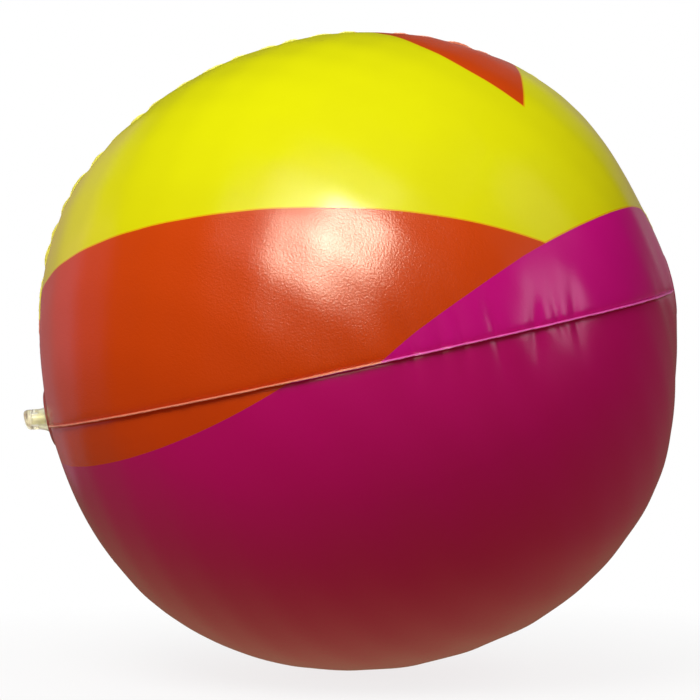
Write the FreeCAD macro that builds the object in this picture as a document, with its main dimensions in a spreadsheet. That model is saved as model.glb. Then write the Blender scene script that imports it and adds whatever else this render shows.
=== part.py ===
import FreeCAD, Part

import math
import os

import PartDesign
import Sketcher
from FreeCAD import Vector

# Inflatable beach ball, 37 cm across, lying with its two end discs left and right.
#
# Four gores of thin PVC film are welded edge to edge from end disc to end disc. Each weld leaves a
# narrow lip that stands outwards. The left end disc carries a moulded valve: a flange welded
# inside the disc, a thin skirt that folds inwards, the stem with its non-return flap, and the plug
# on its strap.
#
# Ball frame: origin at the ball's centre, X along the axis through the end discs (+X is the plain
# end, -X the valve end), Y to the back, Z up when the ball isn't tilted.
# Seat frame: origin where the axis meets the flange, Z out of the ball, X up, Y to the back.
# Stem frame: the seat frame turned about its Y axis, with Z along the leaning stem.

doc = FreeCAD.newDocument("beach_ball")

# ---------------------------------------------------------------- driving dimensions (mm, degrees)

SIZES = [
    ("ball_radius", 185.4, "outside of the film, between the welds"),
    ("film", 0.3, "thickness of the PVC film"),
    ("lip_height", 1.6, "how far a weld lip stands out of the ball"),
    ("rest_tilt", 12.18, "slope of the axis as the ball lies, rising to the plain end"),
    ("gore_turn", 1.25, "turn of the gores about the axis, which lowers the front weld"),
    ("tip_radius", 15.5, "opening that the tips of the four gores leave round each pole"),
    ("disc_radius", 19.0, "end disc, lapped over the tips of the gores"),
    ("disc_flat_radius", 14.0, "flat middle of an end disc"),
    ("disc_hole_radius", 9.2, "hole that the valve stands in"),
    ("lip_end_gap", 1.0, "bare stretch between the end of a lip and the end disc"),
    ("flange_radius", 13.5, "valve flange, welded inside the disc"),
    ("flange_thick", 0.8, ""),
    ("skirt_wall", 0.6, "wall of the folding skirt"),
    ("skirt_foot_radius", 8.9, "skirt where it leaves the flange"),
    ("skirt_waist_radius", 6.6, "skirt where it turns along the stem"),
    ("skirt_waist_height", 1.8, ""),
    ("skirt_top_height", 6.5, "where the skirt joins the stem"),
    ("stem_lean", 9.0, "angle of the stem to the axis, leaning up"),
    ("stem_radius", 5.9, "thick rim of the stem"),
    ("stem_foot_radius", 4.4, "thinner tube inside the skirt"),
    ("stem_foot_depth", 4.0, "how far the tube reaches into the ball"),
    ("stem_top_height", 10.2, "rim of the stem above the flange"),
    ("stem_rim_chamfer", 0.3, ""),
    ("bore_radius", 3.0, ""),
    ("plug_head_radius", 5.8, ""),
    ("plug_head_height", 4.0, ""),
    ("plug_head_round", 1.5, ""),
    ("plug_shank_radius", 2.9, ""),
    ("plug_shank_length", 8.0, ""),
    ("plug_tip_chamfer", 0.8, ""),
    ("strap_width", 3.2, ""),
    ("strap_thick", 0.8, ""),
    ("strap_reach", 5.4, "straight part of each leg of the strap's loop"),
    ("strap_gap", 0.05, "hairline between the strap and what it is moulded to"),
    ("strap_low_height", 8.4, "middle of the leg on the stem"),
    ("strap_high_height", 12.2, "middle of the leg on the plug's head"),
    ("flap_radius", 3.9, ""),
    ("flap_thick", 0.5, ""),
    ("flap_gap", 0.15, "clearance between the flap and the end of the stem"),
    ("flap_tab_width", 3.0, "moulded hinge of the flap"),
    ("flap_hinge_reach", 4.2, "hinge line from the stem's axis"),
]

# The ball stands on the lip of its lowest weld, which the turn of the gores leaves a little to one
# side of the lowest point.
WELD_SLANT = "sin(gore_turn) * cos(rest_tilt)"
DERIVED = [
    (
        "centre_height",
        f"=(ball_radius + lip_height) * cos(asin({WELD_SLANT})) + film * {WELD_SLANT}",
        "centre of the ball above the floor",
    ),
    ("seat_offset", "=sqrt(ball_radius^2 - disc_flat_radius^2)", "flat of an end disc from the centre"),
    ("disc_flat_outside", "=sqrt((ball_radius + film)^2 - disc_flat_radius^2)", ""),
]

sizes = doc.addObject("Spreadsheet::Sheet", "Sizes")
for row, (alias, value, meaning) in enumerate(SIZES + DERIVED, start=1):
    sizes.set(f"A{row}", alias)
    sizes.set(f"B{row}", str(value))
    sizes.set(f"C{row}", meaning)
    sizes.setAlias(f"B{row}", alias)
doc.recompute()

# ---------------------------------------------------------------- frames, as expressions

BALL_FRAME = (
    "create(<<placement>>; create(<<vector>>; 0; 0; Sizes.centre_height);"
    " create(<<rotation>>; create(<<vector>>; 0; 1; 0); -Sizes.rest_tilt))"
)


def turned(axis, angle):
    return (
        "create(<<placement>>; create(<<vector>>; 0; 0; 0);"
        f" create(<<rotation>>; create(<<vector>>; {axis}); {angle}))"
    )


SEAT_FRAME = (
    BALL_FRAME
    + " * create(<<placement>>; create(<<vector>>; -Sizes.seat_offset; 0; 0);"
    + " create(<<rotation>>; create(<<vector>>; 0; 1; 0); -90))"
)
STEM_FRAME = SEAT_FRAME + " * " + turned("0; 1; 0", "Sizes.stem_lean")


def along_stem(height):
    """Offset, in the seat frame, of a plane square to the stem at a height above the flange."""
    return (
        f"create(<<placement>>; create(<<vector>>; {height} * sin(Sizes.stem_lean); 0;"
        f" {height} * cos(Sizes.stem_lean)); create(<<rotation>>; create(<<vector>>; 0; 1; 0);"
        " Sizes.stem_lean))"
    )


# ---------------------------------------------------------------- modelling helpers


def new_body(label, placement):
    body = doc.addObject("PartDesign::Body", label)
    body.Label = label
    body.setExpression("Placement", placement)
    return body


def new_sketch(body, name, plane, offset=None):
    sketch = body.newObject("Sketcher::SketchObject", name)
    plane_feature = next(f for f in body.Origin.OriginFeatures if f.Role == plane)
    sketch.AttachmentSupport = [(plane_feature, "")]
    sketch.MapMode = "FlatFace"
    if offset:
        sketch.setExpression("AttachmentOffset", offset)
    return sketch


def value_of(expression):
    """The present value of a size expression."""
    return float(sizes.evalExpression(expression))


def measure(sketch, name, kind, start, end, expression):
    """A named dimension, from one point to another, whose value comes from the sheet.

    A negative distance is measured the other way round, so that every dimension stays positive.
    """
    value = value_of(expression)
    if value < 0:
        start, end, expression, value = end, start, f"-({expression})", -value
    index = sketch.addConstraint(Sketcher.Constraint(kind, *start, *end, value))
    sketch.renameConstraint(index, name)
    sketch.setExpression(f"Constraints.{name}", expression)


ORIGIN_POINT = (-1, 1)
ACROSS_AXIS = -1
UP_AXIS = -2


def circle(sketch, name, radius):
    """A circle about the sketch's origin."""
    value = value_of(radius)
    curve = sketch.addGeometry(Part.Circle(Vector(0, 0, 0), Vector(0, 0, 1), value))
    sketch.addConstraint(Sketcher.Constraint("Coincident", curve, 3, *ORIGIN_POINT))
    measure(sketch, name, "Radius", (curve,), (), radius)


def pin_point(sketch, name, point, across, up):
    """Holds a point at two distances from the sketch's origin; "0" puts it on that axis."""
    for kind, distance, axis in (("DistanceX", across, UP_AXIS), ("DistanceY", up, ACROSS_AXIS)):
        if distance == "0":
            sketch.addConstraint(Sketcher.Constraint("PointOnObject", *point, axis))
        else:
            measure(sketch, f"{name}_{kind[-1].lower()}", kind, ORIGIN_POINT, point, distance)


def outline(sketch, corners):
    """A closed outline of straight sides through corners given as (across, up) expressions."""
    places = [Vector(value_of(across), value_of(up), 0) for across, up in corners]
    count = len(corners)
    sides = [
        sketch.addGeometry(Part.LineSegment(places[i], places[(i + 1) % count]))
        for i in range(count)
    ]
    for i, (across, up) in enumerate(corners):
        following = (sides[i], 2, sides[(i + 1) % count], 1)
        sketch.addConstraint(Sketcher.Constraint("Coincident", *following))
        pin_point(sketch, f"corner{i}", (sides[i], 1), across, up)


def arc_band(sketch, inner, outer, end_reach):
    """A band between two arcs about the origin, symmetrical about the up axis.

    end_reach is the distance of both ends of the band from the across axis, measured on the
    outer arc; the ends are square to the band.
    """
    inside = value_of(inner)
    outside = value_of(outer)
    end_angle = math.asin(value_of(end_reach) / outside)
    upright = Vector(0, 0, 1)
    arcs = []
    for name, radius, value in (("inner", inner, inside), ("outer", outer, outside)):
        whole = Part.Circle(Vector(0, 0, 0), upright, value)
        arc = sketch.addGeometry(Part.ArcOfCircle(whole, end_angle, math.pi - end_angle))
        sketch.addConstraint(Sketcher.Constraint("Coincident", arc, 3, *ORIGIN_POINT))
        measure(sketch, name, "Radius", (arc,), (), radius)
        arcs.append(arc)
    for end, angle in ((1, end_angle), (2, math.pi - end_angle)):
        toward = Vector(math.cos(angle), math.sin(angle), 0)
        side = sketch.addGeometry(Part.LineSegment(toward * inside, toward * outside))
        sketch.addConstraint(Sketcher.Constraint("Coincident", side, 1, arcs[0], end))
        sketch.addConstraint(Sketcher.Constraint("Coincident", side, 2, arcs[1], end))
        sketch.addConstraint(Sketcher.Constraint("PointOnObject", *ORIGIN_POINT, side))
        measure(sketch, f"end{end}", "DistanceY", ORIGIN_POINT, (side, 2), end_reach)


def revolve(body, sketch, axis, angle="360"):
    feature = body.newObject("PartDesign::Revolution", sketch.Label + "_turned")
    feature.Profile = sketch
    feature.ReferenceAxis = (sketch, [axis])
    feature.setExpression("Angle", angle)
    body.Tip = feature
    return feature


def pad(body, sketch, length, backwards=False, both_ways=False):
    feature = body.newObject("PartDesign::Pad", sketch.Label + "_raised")
    feature.Profile = sketch
    feature.setExpression("Length", length)
    feature.Reversed = backwards
    feature.Midplane = both_ways
    body.Tip = feature
    return feature


# ---------------------------------------------------------------- the inflated envelope


def gore_panel(label, quarter):
    """One gore, a quarter of the ball, with the weld lip along each of its two long edges."""
    body = new_body(label, BALL_FRAME + " * " + turned("1; 0; 0", f"{quarter * 90} + Sizes.gore_turn"))

    film = new_sketch(body, label + "_film", "XZ_Plane")
    arc_band(film, "Sizes.ball_radius - Sizes.film", "Sizes.ball_radius", "Sizes.tip_radius")
    revolve(body, film, "H_Axis", "90")

    lip_end = "Sizes.disc_radius + Sizes.lip_end_gap"
    lip_edge = "Sizes.ball_radius + Sizes.lip_height"
    first_lip = new_sketch(body, label + "_first_lip", "XZ_Plane")
    arc_band(first_lip, "Sizes.ball_radius - Sizes.film", lip_edge, lip_end)
    pad(body, first_lip, "Sizes.film")

    last_lip = new_sketch(body, label + "_last_lip", "XY_Plane", turned("1; 0; 0", "180"))
    arc_band(last_lip, "Sizes.ball_radius - Sizes.film", lip_edge, lip_end)
    pad(body, last_lip, "Sizes.film", backwards=True)


GORES = ["panel_upper_front", "panel_lower_front", "panel_lower_back", "panel_upper_back"]
for quarter, gore in enumerate(GORES):
    gore_panel(gore, quarter)


def end_disc(label, facing, hole=None):
    """Round patch lapped over the tips of the gores, flat in the middle and domed at its edge."""
    body = new_body(label, BALL_FRAME + " * " + facing)
    profile = new_sketch(body, label + "_section", "XZ_Plane")
    inner_ends = []
    outer_ends = []
    for name, radius, flat in (
        ("inside", "Sizes.ball_radius", "Sizes.seat_offset"),
        ("outside", "Sizes.ball_radius + Sizes.film", "Sizes.disc_flat_outside"),
    ):
        dome_radius = value_of(radius)
        edge_angle = math.asin(value_of("Sizes.disc_radius") / dome_radius)
        flat_angle = math.asin(value_of("Sizes.disc_flat_radius") / dome_radius)
        whole = Part.Circle(Vector(0, 0, 0), Vector(0, 0, 1), dome_radius)
        dome = profile.addGeometry(Part.ArcOfCircle(whole, flat_angle, edge_angle))
        profile.addConstraint(Sketcher.Constraint("Coincident", dome, 3, *ORIGIN_POINT))
        measure(profile, name + "_radius", "Radius", (dome,), (), radius)
        measure(profile, name + "_edge", "DistanceY", ORIGIN_POINT, (dome, 2), "Sizes.disc_radius")
        measure(profile, name + "_flat", "DistanceY", ORIGIN_POINT, (dome, 1), "Sizes.disc_flat_radius")

        rim = Vector(value_of(flat), value_of("Sizes.disc_flat_radius"), 0)
        mouth = Vector(value_of(flat), value_of(hole) if hole else 0.0, 0)
        flat_side = profile.addGeometry(Part.LineSegment(rim, mouth))
        profile.addConstraint(Sketcher.Constraint("Coincident", flat_side, 1, dome, 1))
        profile.addConstraint(Sketcher.Constraint("Vertical", flat_side))
        if hole:
            measure(profile, name + "_hole", "DistanceY", ORIGIN_POINT, (flat_side, 2), hole)
        else:
            profile.addConstraint(Sketcher.Constraint("PointOnObject", flat_side, 2, ACROSS_AXIS))
        inner_ends.append((flat_side, 2))
        outer_ends.append((dome, 2))
    for first, second in (inner_ends, outer_ends):
        ends = [profile.getPoint(*first), profile.getPoint(*second)]
        closing = profile.addGeometry(Part.LineSegment(*ends))
        profile.addConstraint(Sketcher.Constraint("Coincident", closing, 1, *first))
        profile.addConstraint(Sketcher.Constraint("Coincident", closing, 2, *second))
    revolve(body, profile, "H_Axis")


end_disc("end_disc_plain", turned("0; 0; 1", "0"))
end_disc("end_disc_valve", turned("0; 0; 1", "180"), hole="Sizes.disc_hole_radius")

# ---------------------------------------------------------------- the valve


def valve_flange():
    body = new_body("valve_flange", SEAT_FRAME)
    ring = new_sketch(body, "flange_ring", "XY_Plane")
    circle(ring, "rim", "Sizes.flange_radius")
    circle(ring, "mouth", "Sizes.skirt_foot_radius - Sizes.skirt_wall")
    pad(body, ring, "Sizes.flange_thick", backwards=True)


def valve_skirt():
    """Thin skirt from the flange up to the rim of the stem, drawn through three rings."""
    body = new_body("valve_skirt", SEAT_FRAME)
    rings = (
        ("foot", "Sizes.skirt_foot_radius", None),
        ("waist", "Sizes.skirt_waist_radius", along_stem("Sizes.skirt_waist_height")),
        ("top", "Sizes.stem_radius", along_stem("Sizes.skirt_top_height")),
    )
    for kind, side, inset in (
        ("PartDesign::AdditiveLoft", "outside", "0"),
        ("PartDesign::SubtractiveLoft", "inside", "Sizes.skirt_wall"),
    ):
        sections = []
        for name, radius, offset in rings:
            section = new_sketch(body, f"skirt_{name}_{side}", "XY_Plane", offset)
            circle(section, "ring", f"{radius} - {inset}")
            sections.append(section)
        skin = body.newObject(kind, "skirt_" + side)
        skin.Profile = sections[0]
        skin.Sections = sections[1:]
        skin.Ruled = True
        body.Tip = skin


def valve_stem():
    body = new_body("valve_stem", STEM_FRAME)
    section = new_sketch(body, "stem_section", "XZ_Plane")
    rim = "Sizes.stem_top_height"
    outline(
        section,
        [
            ("Sizes.bore_radius", "-Sizes.stem_foot_depth"),
            ("Sizes.stem_foot_radius", "-Sizes.stem_foot_depth"),
            ("Sizes.stem_foot_radius", "Sizes.skirt_top_height"),
            ("Sizes.stem_radius", "Sizes.skirt_top_height"),
            ("Sizes.stem_radius", f"{rim} - Sizes.stem_rim_chamfer"),
            ("Sizes.stem_radius - Sizes.stem_rim_chamfer", rim),
            ("Sizes.bore_radius", rim),
        ],
    )
    revolve(body, section, "V_Axis")


def plug_strap():
    """Flat strap that loops from the head of the plug back to the stem, behind the valve."""
    body = new_body("plug_strap", STEM_FRAME)
    side = new_sketch(body, "strap_side", "YZ_Plane")
    bend = "(Sizes.strap_high_height - Sizes.strap_low_height) / 2"
    bend_height = "(Sizes.strap_high_height + Sizes.strap_low_height) / 2"
    reach = "Sizes.stem_radius + Sizes.strap_reach"
    bend_across = value_of(reach)
    bend_up = value_of(bend_height)
    ends = []
    for name, radius in (
        ("inner", f"{bend} - Sizes.strap_thick / 2"),
        ("outer", f"{bend} + Sizes.strap_thick / 2"),
    ):
        value = value_of(radius)
        whole = Part.Circle(Vector(bend_across, bend_up, 0), Vector(0, 0, 1), value)
        arc = side.addGeometry(Part.ArcOfCircle(whole, -math.pi / 2, math.pi / 2))
        pin_point(side, name + "_centre", (arc, 3), reach, bend_height)
        measure(side, name + "_radius", "Radius", (arc,), (), radius)
        for end, root, sign in ((1, "Sizes.stem_radius", -1), (2, "Sizes.plug_head_radius", 1)):
            start = f"{root} + Sizes.strap_gap"
            points = [
                Vector(value_of(start), bend_up + sign * value, 0),
                Vector(bend_across, bend_up + sign * value, 0),
            ]
            leg = side.addGeometry(Part.LineSegment(*points))
            side.addConstraint(Sketcher.Constraint("Coincident", leg, 2, arc, end))
            side.addConstraint(Sketcher.Constraint("Horizontal", leg))
            side.addConstraint(Sketcher.Constraint("Vertical", leg, 2, arc, 3))
            measure(side, f"{name}_leg{end}", "DistanceX", ORIGIN_POINT, (leg, 1), start)
            ends.append((leg, points[0]))
    for (first, first_point), (second, second_point) in ((ends[0], ends[2]), (ends[1], ends[3])):
        root_face = side.addGeometry(Part.LineSegment(first_point, second_point))
        side.addConstraint(Sketcher.Constraint("Coincident", root_face, 1, first, 1))
        side.addConstraint(Sketcher.Constraint("Coincident", root_face, 2, second, 1))
    pad(body, side, "Sizes.strap_width", both_ways=True)


def valve_plug():
    body = new_body("valve_plug", STEM_FRAME)
    section = new_sketch(body, "plug_section", "XZ_Plane")
    seat = "Sizes.stem_top_height"
    tip = f"{seat} - Sizes.plug_shank_length"
    outline(
        section,
        [
            ("0", tip),
            ("Sizes.plug_shank_radius - Sizes.plug_tip_chamfer", tip),
            ("Sizes.plug_shank_radius", f"{tip} + Sizes.plug_tip_chamfer"),
            ("Sizes.plug_shank_radius", seat),
            ("Sizes.plug_head_radius", seat),
            ("Sizes.plug_head_radius", f"{seat} + Sizes.plug_head_height"),
            ("0", f"{seat} + Sizes.plug_head_height"),
        ],
    )
    turned_plug = revolve(body, section, "V_Axis")
    doc.recompute()
    top = value_of(f"{seat} + Sizes.plug_head_height")
    rim_edge = next(
        f"Edge{i}"
        for i, edge in enumerate(turned_plug.Shape.Edges, start=1)
        if edge.Closed and abs(edge.CenterOfMass.z - top) < 1e-6
    )
    rounding = body.newObject("PartDesign::Fillet", "plug_head_rounding")
    rounding.Base = (turned_plug, [rim_edge])
    rounding.setExpression("Radius", "Sizes.plug_head_round")
    body.Tip = rounding


def check_flap():
    """Disc that closes the inner end of the bore, hinged at its upper edge by a moulded tab."""
    body = new_body("check_flap", STEM_FRAME)
    top_face = "create(<<vector>>; 0; 0; -Sizes.stem_foot_depth - Sizes.flap_gap)"
    plane = f"create(<<placement>>; {top_face}; create(<<rotation>>; create(<<vector>>; 0; 0; 1); 0))"
    disc = new_sketch(body, "flap_disc", "XY_Plane", plane)
    circle(disc, "edge", "Sizes.flap_radius")
    pad(body, disc, "Sizes.flap_thick", backwards=True)
    tab = new_sketch(body, "flap_tab", "XY_Plane", plane)
    half_width = "Sizes.flap_tab_width / 2"
    outline(
        tab,
        [
            ("0", f"-{half_width}"),
            ("Sizes.flap_hinge_reach", f"-{half_width}"),
            ("Sizes.flap_hinge_reach", half_width),
            ("0", half_width),
        ],
    )
    pad(body, tab, "Sizes.flap_thick", backwards=True)


for build in (valve_flange, valve_skirt, valve_stem, plug_strap, valve_plug, check_flap):
    build()

# ---------------------------------------------------------------- checking and writing

doc.recompute()

for thing in doc.Objects:
    if {"Invalid", "Error"} & set(thing.State):
        raise RuntimeError(f"{thing.Label} didn't build: {thing.State}")

os.makedirs("parts", exist_ok=True)
for body in doc.Objects:
    if body.TypeId != "PartDesign::Body":
        continue
    shape = body.Shape
    if shape.isNull() or not shape.isValid() or len(shape.Solids) != 1:
        raise RuntimeError(f"{body.Label} isn't one valid solid")
    shape.exportStep(f"parts/{body.Label}.step")
    box = shape.BoundBox
    print(
        f"{body.Label}: {shape.Volume:.2f} mm3, x {box.XMin:.1f} {box.XMax:.1f},"
        f" y {box.YMin:.1f} {box.YMax:.1f}, z {box.ZMin:.2f} {box.ZMax:.2f}"
    )
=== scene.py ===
import math

import bpy
import numpy as np
from mathutils import Matrix, Vector


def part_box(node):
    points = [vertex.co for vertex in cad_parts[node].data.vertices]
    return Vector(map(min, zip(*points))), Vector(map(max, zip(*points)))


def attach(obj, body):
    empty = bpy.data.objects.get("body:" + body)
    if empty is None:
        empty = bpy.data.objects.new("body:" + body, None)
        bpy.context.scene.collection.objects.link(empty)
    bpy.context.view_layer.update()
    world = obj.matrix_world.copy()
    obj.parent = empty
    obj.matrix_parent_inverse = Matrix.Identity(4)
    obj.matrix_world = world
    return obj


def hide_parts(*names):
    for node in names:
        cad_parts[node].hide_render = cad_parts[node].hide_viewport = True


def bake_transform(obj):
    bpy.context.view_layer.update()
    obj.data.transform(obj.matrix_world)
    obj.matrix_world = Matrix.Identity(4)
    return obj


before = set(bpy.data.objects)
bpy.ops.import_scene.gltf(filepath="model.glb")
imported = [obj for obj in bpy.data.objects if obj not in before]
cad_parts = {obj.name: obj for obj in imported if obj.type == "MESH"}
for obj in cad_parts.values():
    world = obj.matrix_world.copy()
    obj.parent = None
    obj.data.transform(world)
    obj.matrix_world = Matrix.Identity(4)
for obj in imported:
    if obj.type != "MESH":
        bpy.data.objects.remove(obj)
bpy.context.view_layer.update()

MM = 0.001
DEGREE = math.pi / 180

# ------------------------------------------------------------------ the ball, taken from the frame
#
# Ball frame: origin at the ball's centre, X along the axis from the valve end to the plain end,
# -Y to the front, Z up across the axis. A point of the film is given by its angle from the valve
# pole, "down", and its angle about the axis, "turn", which is 0 at the top weld, 90 degrees at the
# front weld, 180 at the bottom weld and 270 at the back weld.


def middle(node):
    low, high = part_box(node)
    return (low + high) / 2


PLAIN_END = middle("end_disc_plain")
VALVE_END = middle("end_disc_valve")
CENTRE = (PLAIN_END + VALVE_END) / 2
TILT = math.atan2(PLAIN_END.z - VALVE_END.z, PLAIN_END.x - VALVE_END.x)
BALL_TO_WORLD = Matrix.Translation(CENTRE) @ Matrix.Rotation(-TILT, 4, "Y")

FILM = 0.3 * MM
LIP_HEIGHT = 1.6 * MM
GORE_TURN = 1.25 * DEGREE
TIP_RADIUS = 15.5 * MM
DISC_RADIUS = 19 * MM
DISC_HOLE_RADIUS = 9.2 * MM
DISC_FLAT_RADIUS = 14 * MM
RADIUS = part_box("panel_upper_back")[1].z - CENTRE.z - LIP_HEIGHT
SEAT = math.sqrt(RADIUS**2 - DISC_FLAT_RADIUS**2)

# The tips of the gores meet a little below the middle of the end discs.
TIP_DROP = 3.2 * MM

# ------------------------------------------------------------------ the inflated shape


def unit(x, z):
    length = math.hypot(x, z)
    return np.array([x / length, 0.0, z / length])


# The film is fuller halfway between each pole and the middle, peaks at the poles and dips round the
# plain end.
FULLNESS = 1.9 * MM
POLE_PEAK = 0.9 * MM
POLE_PEAK_SPREAD = 7 * DEGREE
DIP = 3.3 * MM
DIP_FROM_POLE = 19 * DEGREE
DIP_SPREAD = 11 * DEGREE

# Swells of the stretched film: direction in the upright plane through the axis (degrees up from the
# plain end), height and spread.
SWELLS = [
    (145, 4.4 * MM, 15 * DEGREE),
    (215, 1.4 * MM, 12 * DEGREE),
    (308, -0.7 * MM, 14 * DEGREE),
    (88, 0.6 * MM, 10 * DEGREE),
]


def swell_radius(n):
    """Distance of the film from the centre along unit vectors n, without its welds and puckers."""
    from_pole = np.arccos(np.clip(np.abs(n[..., 0]), 0, 1))
    at_plain_end = 0.5 + 0.5 * np.tanh(n[..., 0] * 4)
    radius = RADIUS - FULLNESS * np.cos(4 * from_pole)
    radius += POLE_PEAK * np.exp(-((from_pole / POLE_PEAK_SPREAD) ** 2))
    radius -= at_plain_end * DIP * np.exp(-(((from_pole - DIP_FROM_POLE) / DIP_SPREAD) ** 2))
    for up, height, spread in SWELLS:
        toward = unit(math.cos(up * DEGREE), math.sin(up * DEGREE))
        apart = np.arccos(np.clip(n @ toward, -1, 1))
        radius += height * np.exp(-((apart / spread) ** 2))
    return radius


# A pucker is twice as wide this far off its weld.
PUCKER_OPENING = 16 * MM


class Weld:
    """One of the four welds: its puckers, and the height and lean of its lip, along its length.

    puckers lists (place, strength); places are in millimetres along the weld, from its middle
    towards the plain end.
    """

    def __init__(self, turn, seed, lean, puckers, depth, width, reach):
        random = np.random.default_rng(seed)
        self.turn = turn
        self.lean = lean
        places, strengths = np.array(puckers, float).T
        count = len(places)
        self.place = math.pi * RADIUS / 2 + places * MM
        self.depth = depth * strengths
        self.width = width * random.uniform(0.8, 1.2, count)
        self.reach = reach * random.uniform(0.6, 1.4, (2, count))
        self.slant = random.uniform(-0.2, 0.2, (2, count))
        self.phase = random.uniform(0, 2 * math.pi, 12)

    def pucker(self, along, off, side):
        """Dent of the film at a distance along the weld and a distance off it, on one side."""
        dent = np.zeros(np.broadcast(along, off).shape)
        for i, place in enumerate(self.place):
            width = self.width[i] * (1 + off / PUCKER_OPENING)
            across = (along - place - self.slant[side, i] * off) / width
            fade = np.exp(-((off / self.reach[side, i]) ** 1.5))
            dent += self.depth[i] * fade / (1 + across**2) ** 1.2
        return dent

    def wander(self, along, scale, start):
        """Smooth noise between about -1 and 1 along the weld."""
        p = self.phase[start : start + 3]
        turns = 2 * math.pi * along / scale
        return (np.sin(turns + p[0]) + np.sin(turns * 1.73 + p[1]) + np.sin(turns * 2.91 + p[2])) / 3


def weld_turn(index):
    return GORE_TURN + index * math.pi / 2


# Millimetres: how far puckers reach each way from a weld's middle, and how far apart they are.
PUCKERED_HALF = 205
PITCH = 16


def scattered(seed, pitch):
    """Puckers of random strength about a pitch apart along the whole of a weld."""
    random = np.random.default_rng(seed)
    puckers = []
    place = -PUCKERED_HALF + random.uniform(0, pitch)
    while place < PUCKERED_HALF:
        puckers.append((place, random.uniform(0.6, 1.0)))
        place += pitch * random.uniform(0.8, 1.2)
    return puckers


# Along the front weld the film is taut at the valve end and gathered past the middle.
FRONT_PUCKERS = [
    (-38, 0.2),
    (-23, 0.25),
    (-9, 0.25),
    (19, 0.4),
    (25, 0.9),
    (40, 1.0),
    (52, 0.9),
    (70, 1.0),
    (93, 1.0),
    (108, 0.8),
    (119, 0.8),
]

# The front weld's lip hangs slightly over the lower panel.
WELDS = [
    Weld(weld_turn(0), 11, 14 * DEGREE, scattered(11, PITCH), 2.3 * MM, 4.2 * MM, 24 * MM),
    Weld(weld_turn(1), 23, 9 * DEGREE, FRONT_PUCKERS, 1.3 * MM, 3.1 * MM, 20 * MM),
    Weld(weld_turn(2), 37, -12 * DEGREE, scattered(37, PITCH), 2.3 * MM, 4.2 * MM, 24 * MM),
    Weld(weld_turn(3), 41, 24 * DEGREE, scattered(41, PITCH), 1.6 * MM, 3.6 * MM, 20 * MM),
]

CROWN = 1.8 * MM
GROOVE_DEPTH = 1.2 * MM
GROOVE_WIDTH = 1.5 * MM
RIPPLE = 0.25 * MM


def smooth_step(x):
    x = np.clip(x, 0, 1)
    return x * x * (3 - 2 * x)


LIP_START = DISC_RADIUS + 1 * MM
LIP_RISE = 26 * MM


def standing(down):
    """How much of its full height a lip has: nothing at the end discs, rising away from them."""
    from_pole = RADIUS * np.minimum(down, math.pi - down)
    return 0.04 + 0.96 * smooth_step((from_pole - LIP_START) / LIP_RISE)


def direction(down, turn):
    """Unit vector, from the ball's centre, to a point of the film."""
    n = np.stack(
        [
            -np.cos(down) + 0 * turn,
            -np.sin(down) * np.sin(turn),
            np.sin(down) * np.cos(turn),
        ],
        axis=-1,
    )
    n[..., 2] -= TIP_DROP / RADIUS
    return n / np.linalg.norm(n, axis=-1, keepdims=True)


def film_point(down, turn, panel, lift=0.0):
    """A point of one panel's outer face, raised by lift."""
    n = direction(down, turn)
    radius = swell_radius(n) + lift
    across = turn - weld_turn(panel)
    radius += CROWN * np.sin(down) ** 2 * np.sin(2 * across) ** 2
    along = RADIUS * down
    span = RADIUS * np.sin(down)
    for weld, side, off in (
        (WELDS[panel], 0, span * np.abs(across)),
        (WELDS[(panel + 1) % 4], 1, span * np.abs(math.pi / 2 - across)),
    ):
        radius -= weld.pucker(along, off, side)
        radius -= GROOVE_DEPTH * standing(down) * np.exp(-off / GROOVE_WIDTH)
    radius += RIPPLE * np.sin(31 * n[..., 0] + 9 * n[..., 2]) * np.sin(23 * n[..., 1] + 14 * n[..., 2])
    return n * radius[..., None]


# ------------------------------------------------------------------ meshes of the film


def mesh_object(name, points, faces, attributes=(), smooth=True):
    """A mesh from points in the ball frame, placed in the part's frame."""
    matrix = np.array(BALL_TO_WORLD)
    placed = points @ matrix[:3, :3].T + matrix[:3, 3]
    mesh = bpy.data.meshes.new(name)
    mesh.from_pydata(placed.tolist(), [], faces)
    for label, values in attributes:
        attribute = mesh.attributes.new(label, "FLOAT", "POINT")
        attribute.data.foreach_set("value", np.asarray(values, np.float32).ravel())
    mesh.polygons.foreach_set("use_smooth", [smooth] * len(mesh.polygons))
    mesh.update()
    made = bpy.data.objects.new(name, mesh)
    bpy.context.collection.objects.link(made)
    return made


STATIONS = 440
COLUMNS = 78
ROOT = 0.5 * MM

# Columns crowd towards the welds: 0 spaces them evenly, and 1 would crowd them fully.
CROWDING = 0.93


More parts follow.
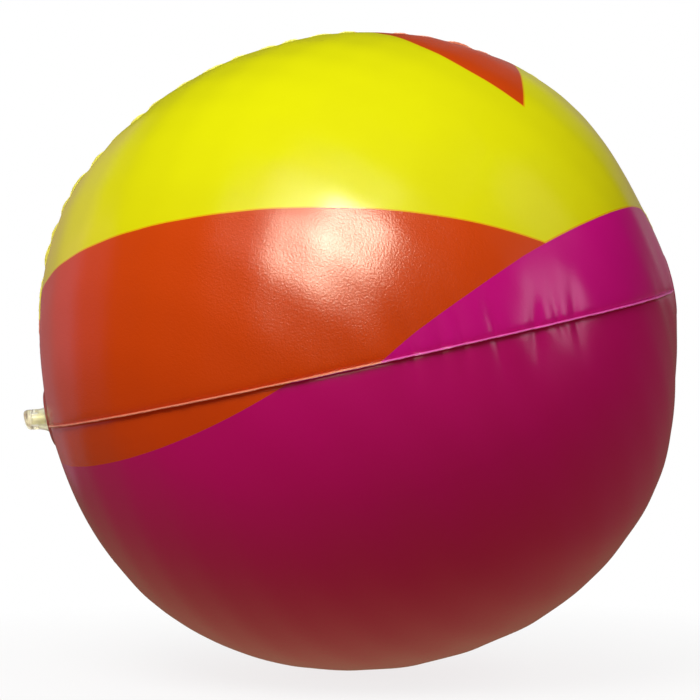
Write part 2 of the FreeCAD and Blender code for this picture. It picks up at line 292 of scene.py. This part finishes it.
def lip_rows(weld, side, down, panel):
    """Rows of points over one lip: up its outer face from the film, and down the weld to the inside.

    Each row is an array of points, one for each station. The lip bends over as it rises.
    """
    along = RADIUS * down
    height = LIP_HEIGHT * (1 + 0.1 * weld.wander(along, 31 * MM, 0) + 0.1 * weld.wander(along, 7 * MM, 3))
    height = (height + GROOVE_DEPTH) * standing(down)
    lean = weld.lean * (1 + 0.35 * weld.wander(along, 58 * MM, 6) + 0.2 * weld.wander(along, 13 * MM, 9))
    turn = np.full_like(down, weld.turn)
    panel_turn = weld_turn(panel) if side == 0 else weld_turn(panel) + math.pi / 2
    base = film_point(down, turn * 0 + panel_turn, panel)
    outward = direction(down, turn)
    ahead = np.gradient(base, axis=0)
    ahead /= np.linalg.norm(ahead, axis=-1, keepdims=True)
    across = np.cross(outward, ahead)
    across /= np.linalg.norm(across, axis=-1, keepdims=True)
    step = direction(down, turn + 0.01) - outward
    across *= np.sign(np.sum(across * step, axis=-1, keepdims=True))
    facing = 1 if side == 0 else -1

    def at(share, offset):
        """A point up the lip by a share of its height, offset from the weld towards this panel."""
        bend = lean * (0.35 + 0.65 * share)
        sideways = height * share * np.sin(bend) + facing * offset * np.cos(bend)
        upward = height * share * np.cos(bend) - facing * offset * np.sin(bend)
        return base + across * sideways[:, None] + outward * upward[:, None]

    hairline = 0.01 * MM
    rising = [at(0.1, 0.42 * MM), at(0.26, FILM), at(0.55, FILM), at(0.82, FILM), at(0.97, 0.8 * FILM)]
    falling = [at(1.0, 0.4 * FILM), at(0.95, hairline), at(0.5, hairline), at(0.0, hairline)]
    rising_edge = [0.15, 0.45, 0.8, 1.0, 1.0]
    falling_edge = [1.0, 1.0, 0.6, 0.0]
    return rising, falling, rising_edge, falling_edge


def gore(name, panel):
    """One panel as a closed skin: outer face, the lips along both welds, and inner face."""
    first_down = math.asin(TIP_RADIUS / RADIUS)
    down = np.linspace(first_down, math.pi - first_down, STATIONS)
    share = np.linspace(0, 1, COLUMNS)
    share = share - CROWDING * np.sin(2 * math.pi * share) / (2 * math.pi)
    inset = ROOT / (RADIUS * np.sin(down))
    low = weld_turn(panel) + inset
    high = weld_turn(panel) + math.pi / 2 - inset
    turn = low[:, None] + (high - low)[:, None] * share[None, :]
    grid_down = np.broadcast_to(down[:, None], turn.shape)
    outer = film_point(grid_down, turn, panel)
    inner = film_point(grid_down, turn, panel, -FILM)

    first_lip = lip_rows(WELDS[panel], 0, down, panel)
    last_lip = lip_rows(WELDS[(panel + 1) % 4], 1, down, panel)
    rows = [outer[:, j] for j in range(COLUMNS)]
    rows += last_lip[0] + last_lip[1]
    rows += [inner[:, j] for j in reversed(range(COLUMNS))]
    rows += list(reversed(first_lip[1])) + list(reversed(first_lip[0]))
    edge = [0.0] * COLUMNS + last_lip[2] + last_lip[3] + [0.0] * COLUMNS
    edge += list(reversed(first_lip[3])) + list(reversed(first_lip[2]))

    middle_turn = weld_turn(panel) + math.pi / 4
    half_width = RADIUS * np.sin(down) * math.pi / 4
    across = [RADIUS * np.sin(down) * (middle_turn - turn[:, j]) for j in range(COLUMNS)]
    lip_points = len(last_lip[0]) + len(last_lip[1])
    across += [-half_width] * lip_points
    across += [RADIUS * np.sin(down) * (middle_turn - turn[:, j]) for j in reversed(range(COLUMNS))]
    across += [half_width] * lip_points
    along = [RADIUS * (down - math.pi / 2)] * len(rows)

    points = np.stack(rows, axis=1)
    around = points.shape[1]
    index = np.arange(STATIONS * around).reshape(STATIONS, around)
    following = np.roll(index, -1, axis=1)
    quads = np.stack([index[:-1], following[:-1], following[1:], index[1:]], axis=-1).reshape(-1, 4)
    faces = quads.tolist()
    inner_start = COLUMNS + lip_points
    for station, reverse in ((0, True), (STATIONS - 1, False)):
        ring = index[station].tolist()
        cap = [
            [ring[j], ring[j + 1], ring[inner_start + COLUMNS - 2 - j], ring[inner_start + COLUMNS - 1 - j]]
            for j in range(COLUMNS - 1)
        ]
        cap.append(ring[COLUMNS - 1 : inner_start + 1])
        cap.append(ring[inner_start + COLUMNS - 1 :] + ring[:1])
        faces += [list(reversed(face)) if reverse else face for face in cap]
    edge_values = np.broadcast_to(np.array(edge)[None, :], (STATIONS, around))
    attributes = [
        ("print_along", np.stack(along, axis=1)),
        ("print_across", np.stack(across, axis=1)),
        ("lip", edge_values),
    ]
    return mesh_object(name, points.reshape(-1, 3), faces, attributes)


DISC_MIDDLE = 15 * MM
DISC_RIM_START = 15.4 * MM
DISC_WELD_RADIUS = 17.2 * MM
DISC_WELD_WIDTH = 0.9 * MM
DISC_WELD_DEPTH = 0.14 * MM
LAP_GAP = 0.06 * MM
PINHOLE = 0.2 * MM


def end_disc(name, end, hole_radius):
    """Round patch over the tips of the gores; end is -1 at the valve and 1 at the plain end."""
    inner_rings = np.linspace(hole_radius, DISC_MIDDLE, 16)
    rings = np.concatenate([inner_rings, np.linspace(DISC_RIM_START, DISC_RADIUS, 12)])
    segments = 144
    angle = np.linspace(0, 2 * math.pi, segments, endpoint=False)
    reach = rings[:, None] + 0 * angle[None, :]
    sine = np.clip(reach / RADIUS, 0, 1)
    n = np.stack(
        [
            end * np.sqrt(1 - sine**2),
            -sine * np.sin(angle)[None, :],
            sine * np.cos(angle)[None, :],
        ],
        axis=-1,
    )
    domed = n * swell_radius(n)[..., None]
    flat = np.stack([end * SEAT + 0 * reach, reach * n[..., 1] / sine, reach * n[..., 2] / sine], axis=-1)
    if end > 0:
        to_dome = np.ones_like(reach)[..., None]
    else:
        to_dome = smooth_step((reach - DISC_FLAT_RADIUS) / (DISC_RADIUS - DISC_FLAT_RADIUS))[..., None]
    weld_band = np.exp(-(((reach - DISC_WELD_RADIUS) / DISC_WELD_WIDTH) ** 2))[..., None]
    under = flat * (1 - to_dome) + (domed + LAP_GAP * n) * to_dome
    over = under + n * (FILM - DISC_WELD_DEPTH * weld_band)
    count = len(rings)
    points = np.concatenate([over.reshape(-1, 3), under.reshape(-1, 3)])
    faces = []

    def ring(layer, i):
        start = (layer * count + i) * segments
        return list(range(start, start + segments))

    def join(first, second):
        for j in range(segments):
            k = (j + 1) % segments
            face = [first[j], second[j], second[k], first[k]]
            faces.append(face if end > 0 else face[::-1])

    for i in range(count - 1):
        join(ring(0, i), ring(0, i + 1))
        join(ring(1, i + 1), ring(1, i))
    join(ring(0, count - 1), ring(1, count - 1))
    if hole_radius > PINHOLE:
        join(ring(1, 0), ring(0, 0))
    else:
        faces.append(ring(0, 0)[:: -end])
        faces.append(ring(1, 0)[::end])
    reach_values = np.concatenate([reach.ravel(), reach.ravel()])
    return mesh_object(name, points, faces, [("reach", reach_values)])


# ------------------------------------------------------------------ node helpers


class Nodes:
    """Short ways to add and join shader nodes in one material."""

    def __init__(self, name):
        self.material = bpy.data.materials.new(name)
        self.material.use_nodes = True
        self.tree = self.material.node_tree
        self.shader = self.tree.nodes["Principled BSDF"]

    def add(self, kind, **settings):
        node = self.tree.nodes.new(kind)
        for key, value in settings.items():
            setattr(node, key, value)
        return node

    def link(self, source, target):
        self.tree.links.new(source, target)

    def feed(self, socket, value):
        if isinstance(value, (int, float)):
            socket.default_value = value
        elif isinstance(value, tuple):
            socket.default_value = (*value, 1.0) if len(socket.default_value) == 4 else value
        else:
            self.link(value, socket)

    def math(self, operation, *values):
        node = self.add("ShaderNodeMath", operation=operation)
        for socket, value in zip(node.inputs, values):
            self.feed(socket, value)
        return node.outputs[0]

    def attribute(self, name):
        return self.add("ShaderNodeAttribute", attribute_name=name).outputs["Fac"]

    def mix(self, share, first, second):
        node = self.add("ShaderNodeMix", data_type="RGBA")
        self.feed(node.inputs["Factor"], share)
        self.feed(node.inputs["A"], first)
        self.feed(node.inputs["B"], second)
        return node.outputs["Result"]

    def flat(self, colour):
        """One colour, as an output to build on."""
        node = self.add("ShaderNodeRGB")
        node.outputs[0].default_value = (*colour, 1.0)
        return node.outputs[0]

    def edge(self, depth):
        """1 inside a shape and 0 outside it, from the depth inside it, with a narrow soft edge."""
        share = self.add("ShaderNodeClamp")
        self.link(self.math("ADD", self.math("DIVIDE", depth, EDGE), 0.5), share.inputs["Value"])
        return share.outputs[0]

    def noise(self, scale, detail=2.0, roughness=0.5, coordinates=None):
        node = self.add("ShaderNodeTexNoise")
        node.inputs["Scale"].default_value = scale
        node.inputs["Detail"].default_value = detail
        node.inputs["Roughness"].default_value = roughness
        self.link(coordinates or self.coordinates(), node.inputs["Vector"])
        return node.outputs["Fac"]

    def coordinates(self):
        return self.add("ShaderNodeTexCoord").outputs["Object"]

    def spread(self, value, low, high, to_low, to_high):
        node = self.add("ShaderNodeMapRange")
        for name, setting in (("From Min", low), ("From Max", high), ("To Min", to_low), ("To Max", to_high)):
            node.inputs[name].default_value = setting
        self.link(value, node.inputs["Value"])
        return node.outputs["Result"]

    def bump(self, height, strength, distance, normal=None):
        node = self.add("ShaderNodeBump")
        self.feed(node.inputs["Strength"], strength)
        node.inputs["Distance"].default_value = distance
        self.link(height, node.inputs["Height"])
        if normal:
            self.link(normal, node.inputs["Normal"])
        return node.outputs["Normal"]


# ------------------------------------------------------------------ the print
#
# Each panel is printed flat. Its colours meet along arcs, given here in millimetres on the flat
# panel: along it from its middle towards the plain end, and across it from its centre line, up on
# the front panels. A shape is what lies inside every arc of its list; a negative radius means
# outside that circle.

# An ink is its colour and how strongly its surface is grained.
YELLOW = ((0.80, 0.82, 0.0), 0.15)
ORANGE = ((0.66, 0.062, 0.001), 1.0)
MAGENTA = ((0.54, 0.0, 0.17), 0.45)
PINK = ((0.64, 0.0, 0.26), 0.45)
DARK_ORANGE = ((0.38, 0.03, 0.01), 0.7)
FRINGE = (0.85, 0.50, 0.0)

EDGE = 0.25 * MM
FRINGE_WIDTH = 0.8 * MM

ORANGE_SWEEP = [(169, 605, -687)]
PINK_SWEEP = [(-1259.5, 1919, -2422.5), (-332, 494, -723)]
LOWER_ORANGE = [(919, -1615.5, -2002)]
SHARD = [(250.5, 187.5, 219.6), (-200.8, 83.5, 326.7)]
BACK_SHARD = [(250.5, -103, 219.6), (-200.8, -207, 326.7)]


def turned_over(arcs):
    """The same arcs with the panel's two long edges swapped."""
    return [(along, -across, radius) for along, across, radius in arcs]


PRINTS = {
    "panel_upper_front": (YELLOW, [(ORANGE, ORANGE_SWEEP), (ORANGE, SHARD), (PINK, PINK_SWEEP)]),
    "panel_lower_front": (MAGENTA, [(ORANGE, LOWER_ORANGE)]),
    "panel_lower_back": (MAGENTA, [(ORANGE, turned_over(LOWER_ORANGE))]),
    "panel_upper_back": (
        YELLOW,
        [
            (ORANGE, turned_over(ORANGE_SWEEP)),
            (ORANGE, BACK_SHARD),
            (PINK, turned_over(PINK_SWEEP)),
        ],
    ),
}


def inside(nodes, along, across, arcs):
    """How far a point lies inside a shape, in metres, negative outside it."""
    depth = None
    for centre_along, centre_across, radius in arcs:
        a = nodes.math("SUBTRACT", along, centre_along * MM)
        b = nodes.math("SUBTRACT", across, centre_across * MM)
        distance = nodes.math(
            "SQRT", nodes.math("ADD", nodes.math("MULTIPLY", a, a), nodes.math("MULTIPLY", b, b))
        )
        if radius > 0:
            inner = nodes.math("SUBTRACT", radius * MM, distance)
        else:
            inner = nodes.math("SUBTRACT", distance, -radius * MM)
        depth = inner if depth is None else nodes.math("MINIMUM", depth, inner)
    return depth


CLOUD_SCALE = 14.0
GRAIN_SCALE = 1000.0
GRAIN_HEIGHT = 0.00018
DIMPLE_SCALE = 420.0
DIMPLE_HEIGHT = 0.00010


def film_surface(nodes, colour, grain_share, lip=None):
    """Satin PVC: fine grain, sheen that varies a little, and lighter colour along the trimmed lips, partly
    the stress-whitened film edge and partly a painted highlight where the lips catch the light.
    """
    shader = nodes.shader
    place = nodes.coordinates()
    cloud = nodes.noise(CLOUD_SCALE, 3.0, 0.5, place)
    colour = nodes.mix(nodes.spread(cloud, 0.3, 0.7, 0.0, 0.05), colour, (0.25, 0.05, 0.02))
    # Along the lips the ink is lightened: partly stress-whitened film, partly a painted highlight on the lit
    # lip edges.
    if lip:
        lightened = nodes.add("ShaderNodeGamma")
        lightened.inputs["Gamma"].default_value = 0.5
        nodes.link(colour, lightened.inputs["Color"])
        stress_whitened_and_highlit = nodes.mix(0.2, lightened.outputs[0], (1.0, 0.7, 0.9))
        colour = nodes.mix(nodes.math("MULTIPLY", lip, 0.9), colour, stress_whitened_and_highlit)
    nodes.link(colour, shader.inputs["Base Color"])
    grain = nodes.noise(GRAIN_SCALE, 2.0, 0.6, place)
    nodes.link(nodes.spread(grain, 0.3, 0.7, 0.21, 0.27), shader.inputs["Roughness"])
    fine = nodes.bump(grain, nodes.math("MULTIPLY", grain_share, 0.7), GRAIN_HEIGHT)
    coarse = nodes.noise(DIMPLE_SCALE, 2.0, 0.5, place)
    nodes.link(nodes.bump(coarse, 0.08, DIMPLE_HEIGHT, fine), shader.inputs["Normal"])
    shader.inputs["IOR"].default_value = 1.52
    shader.inputs["Specular IOR Level"].default_value = 0.5
    return nodes.material


def printed_film(name, ground, shapes):
    """Film printed with a ground colour and shapes over it; inks that lap over yellow leave a fringe."""
    nodes = Nodes(name)
    along = nodes.attribute("print_along")
    across = nodes.attribute("print_across")
    colour = nodes.flat(ground[0])
    grain = nodes.flat((ground[1],) * 3)
    depths = [(ink, inside(nodes, along, across, arcs)) for ink, arcs in shapes]
    if ground is YELLOW:
        for ink, depth in depths:
            colour = nodes.mix(nodes.edge(nodes.math("ADD", depth, FRINGE_WIDTH)), colour, FRINGE)
    for ink, depth in depths:
        share = nodes.edge(depth)
        colour = nodes.mix(share, colour, ink[0])
        grain = nodes.mix(share, grain, (ink[1],) * 3)
    return film_surface(nodes, colour, grain, nodes.attribute("lip"))


def plain_film(name, ink):
    nodes = Nodes(name)
    return film_surface(nodes, nodes.flat(ink[0]), nodes.flat((ink[1],) * 3))


def clear_moulding(name):
    """Soft clear PVC, a little yellow and cloudy."""
    nodes = Nodes(name)
    shader = nodes.shader
    place = nodes.coordinates()
    cloud = nodes.noise(300.0, 3.0, 0.5, place)
    colour = nodes.mix(nodes.spread(cloud, 0.3, 0.7, 0.0, 1.0), (0.97, 0.96, 0.84), (0.94, 0.92, 0.72))
    nodes.link(colour, shader.inputs["Base Color"])
    nodes.link(nodes.spread(cloud, 0.3, 0.7, 0.10, 0.22), shader.inputs["Roughness"])
    nodes.link(nodes.bump(nodes.noise(900.0, 2.0, 0.5, place), 0.15, 0.0001), shader.inputs["Normal"])
    shader.inputs["Transmission Weight"].default_value = 0.88
    shader.inputs["IOR"].default_value = 1.35
    return nodes.material


# ------------------------------------------------------------------ pieces of the ball


def finish_piece(piece, node, material, body=None):
    """Gives a mesh its material and its body, and hides the CAD node that it stands for."""
    piece.data.materials.append(material)
    if body:
        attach(piece, body)
    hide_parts(node)


for panel, (node, (ground, shapes)) in enumerate(PRINTS.items()):
    piece = gore("printed_" + node, panel)
    finish_piece(piece, node, printed_film(node + "_film", ground, shapes), "envelope")

plain_disc = end_disc("round_end_disc_plain", 1, PINHOLE)
finish_piece(plain_disc, "end_disc_plain", plain_film("plain_disc_film", MAGENTA), "envelope")
valve_disc = end_disc("round_end_disc_valve", -1, DISC_HOLE_RADIUS)
finish_piece(valve_disc, "end_disc_valve", plain_film("valve_disc_film", DARK_ORANGE), "envelope")

# ------------------------------------------------------------------ the valve
#
# Seat frame: Z out of the ball at the valve, X up, origin in the middle of the flange. Stem frame:
# the seat frame leaned by the stem's angle.

STEM_LEAN = 9 * DEGREE
BALL_TO_SEAT = Matrix.Translation((-SEAT, 0, 0)) @ Matrix.Rotation(-90 * DEGREE, 4, "Y")
SEAT_TO_STEM = Matrix.Rotation(STEM_LEAN, 4, "Y")
SEGMENTS = 96


def moved(points, matrix):
    matrix = np.array(matrix)
    return points @ matrix[:3, :3].T + matrix[:3, 3]


def rounded(corners):
    """Closed outline in millimetres through (radius, height, rounding) corners, as rows of points."""
    points = []
    for i, (radius, height, rounding) in enumerate(corners):
        corner = np.array([radius, height], float)
        back = np.array(corners[i - 1][:2]) - corner
        ahead = np.array(corners[(i + 1) % len(corners)][:2]) - corner
        back = back / np.linalg.norm(back) * rounding
        ahead = ahead / np.linalg.norm(ahead) * rounding
        for t in np.linspace(0, 1, 7 if rounding else 1):
            points.append(corner + back * (1 - t) ** 2 + ahead * t**2)
    return np.array(points) * MM


def ring_faces(rows, closed):
    """Quads over rows of points that each go once round; the ends are capped unless closed."""
    faces = []
    for i in range(rows if closed else rows - 1):
        for j in range(SEGMENTS):
            here = i * SEGMENTS
            above = (i + 1) % rows * SEGMENTS
            k = (j + 1) % SEGMENTS
            faces.append([here + j, here + k, above + k, above + j])
    if not closed:
        faces.append(list(range(SEGMENTS))[::-1])
        faces.append(list(range((rows - 1) * SEGMENTS, rows * SEGMENTS)))
    return faces


ANGLES = np.linspace(0, 2 * math.pi, SEGMENTS, endpoint=False)


def revolved(outline):
    """Points of a solid of revolution, with one ring for each point of its outline."""
    radius = outline[:, 0][:, None]
    height = outline[:, 1][:, None] + 0 * ANGLES
    return np.stack([radius * np.cos(ANGLES), radius * np.sin(ANGLES), height], axis=-1).reshape(-1, 3)


def turned(name, outline, closed=True, shaped=None):
    """A solid of revolution in the stem frame; shaped moves its points before they are placed."""
    points = revolved(outline)
    if shaped is not None:
        points = shaped(points)
    return mesh_object(name, moved(points, BALL_TO_SEAT @ SEAT_TO_STEM), ring_faces(len(outline), closed))


# The valve's sizes are in millimetres.
RIM_HEIGHT = 10.2
RIM_RADIUS = 5.9
HEAD_RADIUS = 5.8
HEAD_TOP = 14.2
HEAD_WEDGE = 0.28
STEM_FOOT_RADIUS = 4.4
STEM_STEP_HEIGHT = 6.5
STEM_BOTTOM = -4.0
BORE_RADIUS = 3.0
SHANK_RADIUS = 2.9
SHANK_BOTTOM = 2.2
NEAR_AXIS = 0.02
FLANGE_HOLE_RADIUS = 8.3
FLANGE_RADIUS = 13.5
FLANGE_THICK = 0.8


def wedged(points):
    """Makes the plug's head thicker at the top, so that its face looks a little downwards."""
    rim = RIM_HEIGHT * MM
    above = np.maximum(points[:, 2] - rim, 0)
    points[:, 2] += above * HEAD_WEDGE * points[:, 0] / (HEAD_RADIUS * MM)
    return points


STEM_OUTLINE = rounded(
    [
        (BORE_RADIUS, STEM_BOTTOM, 0.3),
        (STEM_FOOT_RADIUS, STEM_BOTTOM, 0.4),
        (STEM_FOOT_RADIUS, STEM_STEP_HEIGHT, 0.15),
        (RIM_RADIUS, STEM_STEP_HEIGHT, 0.2),
        (RIM_RADIUS, RIM_HEIGHT, 0.7),
        (BORE_RADIUS, RIM_HEIGHT, 0.2),
    ]
)
PLUG_OUTLINE = rounded(
    [
        (NEAR_AXIS, SHANK_BOTTOM, 0.0),
        (SHANK_RADIUS, SHANK_BOTTOM, 1.0),
        (SHANK_RADIUS, RIM_HEIGHT, 0.15),
        (HEAD_RADIUS, RIM_HEIGHT, 0.5),
        (HEAD_RADIUS, HEAD_TOP, 3.0),
        (NEAR_AXIS, HEAD_TOP, 0.0),
    ]
)


def flange():
    """Flat ring inside the end disc, its top level with the seat."""
    outline = rounded(
        [
            (FLANGE_HOLE_RADIUS, -FLANGE_THICK, 0.1),
            (FLANGE_RADIUS, -FLANGE_THICK, 0.3),
            (FLANGE_RADIUS, 0.0, 0.1),
            (FLANGE_HOLE_RADIUS, 0.0, 0.1),
        ]
    )
    placed = moved(revolved(outline), BALL_TO_SEAT)
    return mesh_object("smooth_flange", placed, ring_faces(len(outline), True))


# The skirt's taper keeps its folded wall clear of the plug's head when the valve is pushed in.
SKIRT_HEIGHT = 6.45
SKIRT_WALL = 0.6
SKIRT_TAPER = 0.95
SKIRT_FLARE = 2.05


def skirt():
    """Thin wall, unfolded: a flared foot at the flange, a waist, and a tube up to the stem's rim."""
    share = np.linspace(0, 1, 36)
    flare = (1 - share) ** 5
    height = SKIRT_HEIGHT * share
    outer = RIM_RADIUS + SKIRT_TAPER * (1 - share) + SKIRT_FLARE * flare
    rows = [(r, h, s) for r, h, s in zip(outer, height, share)]
    rows += [(r - SKIRT_WALL, h, s) for r, h, s in zip(outer[::-1], height[::-1], share[::-1])]
    points = []
    for radius, up, s in rows:
        lean = STEM_LEAN * min(1.0, 3 * s)
        x = radius * np.cos(ANGLES)
        points.append(
            np.stack(
                [
                    x * math.cos(lean) + up * math.sin(lean),
                    radius * np.sin(ANGLES),
                    up * math.cos(lean) - x * math.sin(lean),
                ],
                axis=-1,
            )
        )
    placed = moved(np.concatenate(points) * MM, BALL_TO_SEAT)
    return mesh_object("soft_skirt", placed, ring_faces(len(rows), True))


STRAP_LOW = 8.4
STRAP_HIGH = 12.2
STRAP_BEND_AT = 11.3


def strap():
    """Flat strap in the stem frame: out from the stem, round a bend and back to the plug's head."""
    bend = (STRAP_HIGH - STRAP_LOW) / 2
    low_leg = [(y, STRAP_LOW, 0.0) for y in np.linspace(RIM_RADIUS + 0.05, STRAP_BEND_AT, 12)]
    round_bend = [
        (STRAP_BEND_AT + bend * math.sin(a), STRAP_LOW + bend - bend * math.cos(a), a)
        for a in np.linspace(0, math.pi, 22)[1:-1]
    ]
    high_leg = [(y, STRAP_HIGH, math.pi) for y in np.linspace(STRAP_BEND_AT, HEAD_RADIUS + 0.05, 12)]
    half_width = 1.6
    half_thick = 0.4
    nick = 0.15
    section = [
        (half_width, nick - half_thick),
        (half_width, half_thick - nick),
        (half_width - nick, half_thick),
        (nick - half_width, half_thick),
        (-half_width, half_thick - nick),
        (-half_width, nick - half_thick),
        (nick - half_width, -half_thick),
        (half_width - nick, -half_thick),
    ]
    path = low_leg + round_bend + high_leg
    points = [
        (side, y + out * math.sin(a), z - out * math.cos(a)) for y, z, a in path for side, out in section
    ]
    around = len(section)
    faces = []
    for i in range(len(path) - 1):
        for j in range(around):
            k = (j + 1) % around
            faces.append([i * around + j, (i + 1) * around + j, (i + 1) * around + k, i * around + k])
    faces.append(list(range(around)))
    last = (len(path) - 1) * around
    faces.append(list(range(last, last + around))[::-1])
    placed = moved(np.array(points) * MM, BALL_TO_SEAT @ SEAT_TO_STEM)
    return mesh_object("soft_strap", placed, faces)


moulding = clear_moulding("valve_clear_pvc")
finish_piece(flange(), "valve_flange", moulding, "envelope")
finish_piece(turned("smooth_stem", STEM_OUTLINE), "valve_stem", moulding, "stem")
finish_piece(turned("smooth_plug", PLUG_OUTLINE, False, wedged), "valve_plug", moulding, "plug")
soft_skirt = skirt()
finish_piece(soft_skirt, "valve_skirt", moulding)
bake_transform(soft_skirt)
soft_strap = strap()
finish_piece(soft_strap, "plug_strap", moulding)
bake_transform(soft_strap)

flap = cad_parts["check_flap"]
flap.data.materials.clear()
flap.data.materials.append(moulding)

# ------------------------------------------------------------------ floor, light and camera

# The floor's shade fades out this far from the ball, in metres, from this share beneath it.
FLOOR_FADE = 0.42
FLOOR_SHARE = 0.2


def floor():
    """White paper that fades into the white surroundings away from the ball."""
    size = 3.0
    mesh = bpy.data.meshes.new("studio_floor")
    corners = [(-size, -size, 0), (size, -size, 0), (size, size, 0), (-size, size, 0)]
    mesh.from_pydata(corners, [], [(0, 1, 2, 3)])
    made = bpy.data.objects.new("studio_floor", mesh)
    bpy.context.collection.objects.link(made)
    nodes = Nodes("studio_paper")
    shader = nodes.shader
    paper = nodes.mix(nodes.noise(6.0), (0.93, 0.93, 0.93), (0.96, 0.96, 0.96))
    nodes.link(paper, shader.inputs["Base Color"])
    shader.inputs["Roughness"].default_value = 0.9
    shader.inputs["Specular IOR Level"].default_value = 0.0
    distance = nodes.add("ShaderNodeVectorMath", operation="LENGTH")
    nodes.link(nodes.coordinates(), distance.inputs[0])
    fade = nodes.spread(distance.outputs["Value"], 0.0, FLOOR_FADE, FLOOR_SHARE, 0.0)
    nodes.link(fade, shader.inputs["Alpha"])
    mesh.materials.append(nodes.material)
    return made


def softbox(name, place, size, power, colour=(1, 1, 1), diffuse=True, glossy=True):
    """A round light that faces the ball's centre; it may light the film or only be mirrored in it."""
    data = bpy.data.lights.new(name, "AREA")
    data.shape = "DISK"
    data.size = size
    data.energy = power
    data.color = colour
    made = bpy.data.objects.new(name, data)
    made.location = CENTRE + Vector(place)
    made.rotation_mode = "QUATERNION"
    made.rotation_quaternion = (-Vector(place)).to_track_quat("-Z", "Y")
    made.visible_diffuse = diffuse
    made.visible_glossy = glossy
    bpy.context.collection.objects.link(made)


# A direction, and the room's colours against it, nearly against it, square to it and along it.
ROOM_LIGHT = (
    (0, 0, 1),
    (0.46, 0.20, 0.06),
    (0.40, 0.19, 0.07),
    (0.28, 0.19, 0.12),
    (0.15, 0.15, 0.15),
)
ROOM_MIRRORED = (
    (0, -0.6, 0.8),
    (0.48, 0.33, 0.18),
    (0.21, 0.135, 0.085),
    (0.04, 0.015, 0.015),
    (0.005, 0.005, 0.005),
)

# Where the second and third of those colours lie on the way from the first to the last.
LOW_AT = 0.15
LEVEL_AT = 0.45
WHITE = (1, 1, 1)


def surroundings():
    """White to the camera and through the clear valve; the film is lit by a room that is warm below.

    What the film mirrors is a second room, which is bright on one side and dark on the other.
    """
    world = bpy.data.worlds.new("studio")
    bpy.context.scene.world = world
    world.use_nodes = True
    tree = world.node_tree
    tree.nodes.clear()
    coordinates = tree.nodes.new("ShaderNodeTexCoord")

    def room(direction, below, low, level, above):
        """Colours that change along a direction, from -1 to 1."""
        along = tree.nodes.new("ShaderNodeVectorMath")
        along.operation = "DOT_PRODUCT"
        along.inputs[1].default_value = direction
        tree.links.new(coordinates.outputs["Generated"], along.inputs[0])
        height = tree.nodes.new("ShaderNodeMapRange")
        height.inputs["From Min"].default_value = -1
        tree.links.new(along.outputs["Value"], height.inputs["Value"])
        ramp = tree.nodes.new("ShaderNodeValToRGB")
        ramp.color_ramp.elements[0].color = (*below, 1)
        ramp.color_ramp.elements[1].color = (*above, 1)
        ramp.color_ramp.elements.new(LEVEL_AT).color = (*level, 1)
        ramp.color_ramp.elements.new(LOW_AT).color = (*low, 1)
        tree.links.new(height.outputs["Result"], ramp.inputs["Fac"])
        background = tree.nodes.new("ShaderNodeBackground")
        tree.links.new(ramp.outputs["Color"], background.inputs["Color"])
        return background.outputs["Background"]

    def choose(ray, other, own):
        mixer = tree.nodes.new("ShaderNodeMixShader")
        tree.links.new(path.outputs[ray], mixer.inputs["Fac"])
        tree.links.new(other, mixer.inputs[1])
        tree.links.new(own, mixer.inputs[2])
        return mixer.outputs["Shader"]

    path = tree.nodes.new("ShaderNodeLightPath")
    lighting = room(*ROOM_LIGHT)
    mirrored = room(*ROOM_MIRRORED)
    white = room((0, 0, 1), WHITE, WHITE, WHITE, WHITE)
    around = choose("Is Glossy Ray", lighting, mirrored)
    seen = choose("Is Camera Ray", choose("Is Transmission Ray", around, white), white)
    output = tree.nodes.new("ShaderNodeOutputWorld")
    tree.links.new(seen, output.inputs["Surface"])


def camera():
    """Level with the ball's centre, 1.4 m in front, with the ball a little right of the middle."""
    data = bpy.data.cameras.new("camera")
    data.sensor_width = 36
    data.lens = 124.1
    made = bpy.data.objects.new("camera", data)
    made.location = CENTRE + Vector((-6.4 * MM, -1400 * MM, 0.8 * MM))
    made.rotation_euler = (90 * DEGREE, 0, 0)
    bpy.context.collection.objects.link(made)
    bpy.context.scene.camera = made


ground_plane = floor()
ground_plane.visible_diffuse = False
ground_plane.visible_glossy = False
softbox("key_light", (-0.44, -0.95, 1.04), 0.9, 17, glossy=False)
softbox("right_fill", (1.10, -0.40, 0.95), 0.7, 3.9, glossy=False)
softbox("umbrella_glow", (-0.21, -1.28, 0.74), 0.90, 3.6, (1.0, 0.90, 0.62), diffuse=False)
softbox("lamp_glow", (-0.22, -1.25, 0.85), 0.64, 27, (1.0, 0.97, 0.76), diffuse=False)
softbox("side_glow", (1.28, -0.66, 0.31), 0.45, 1.2, (1.0, 0.85, 0.95), diffuse=False)
softbox("left_glow", (-1.2, 1.4, 0.25), 1.6, 1.6, (1.0, 0.5, 0.8), diffuse=False)
softbox("left_haze", (-1.75, 0.75, 0.3), 1.3, 1.7, (1.0, 0.3, 0.5), diffuse=False)
softbox("back_glow", (0.5, 1.3, 0.5), 0.9, 0.4, (1.0, 0.8, 0.9), diffuse=False)
surroundings()
camera()

scene = bpy.context.scene
scene.view_settings.view_transform = "Standard"
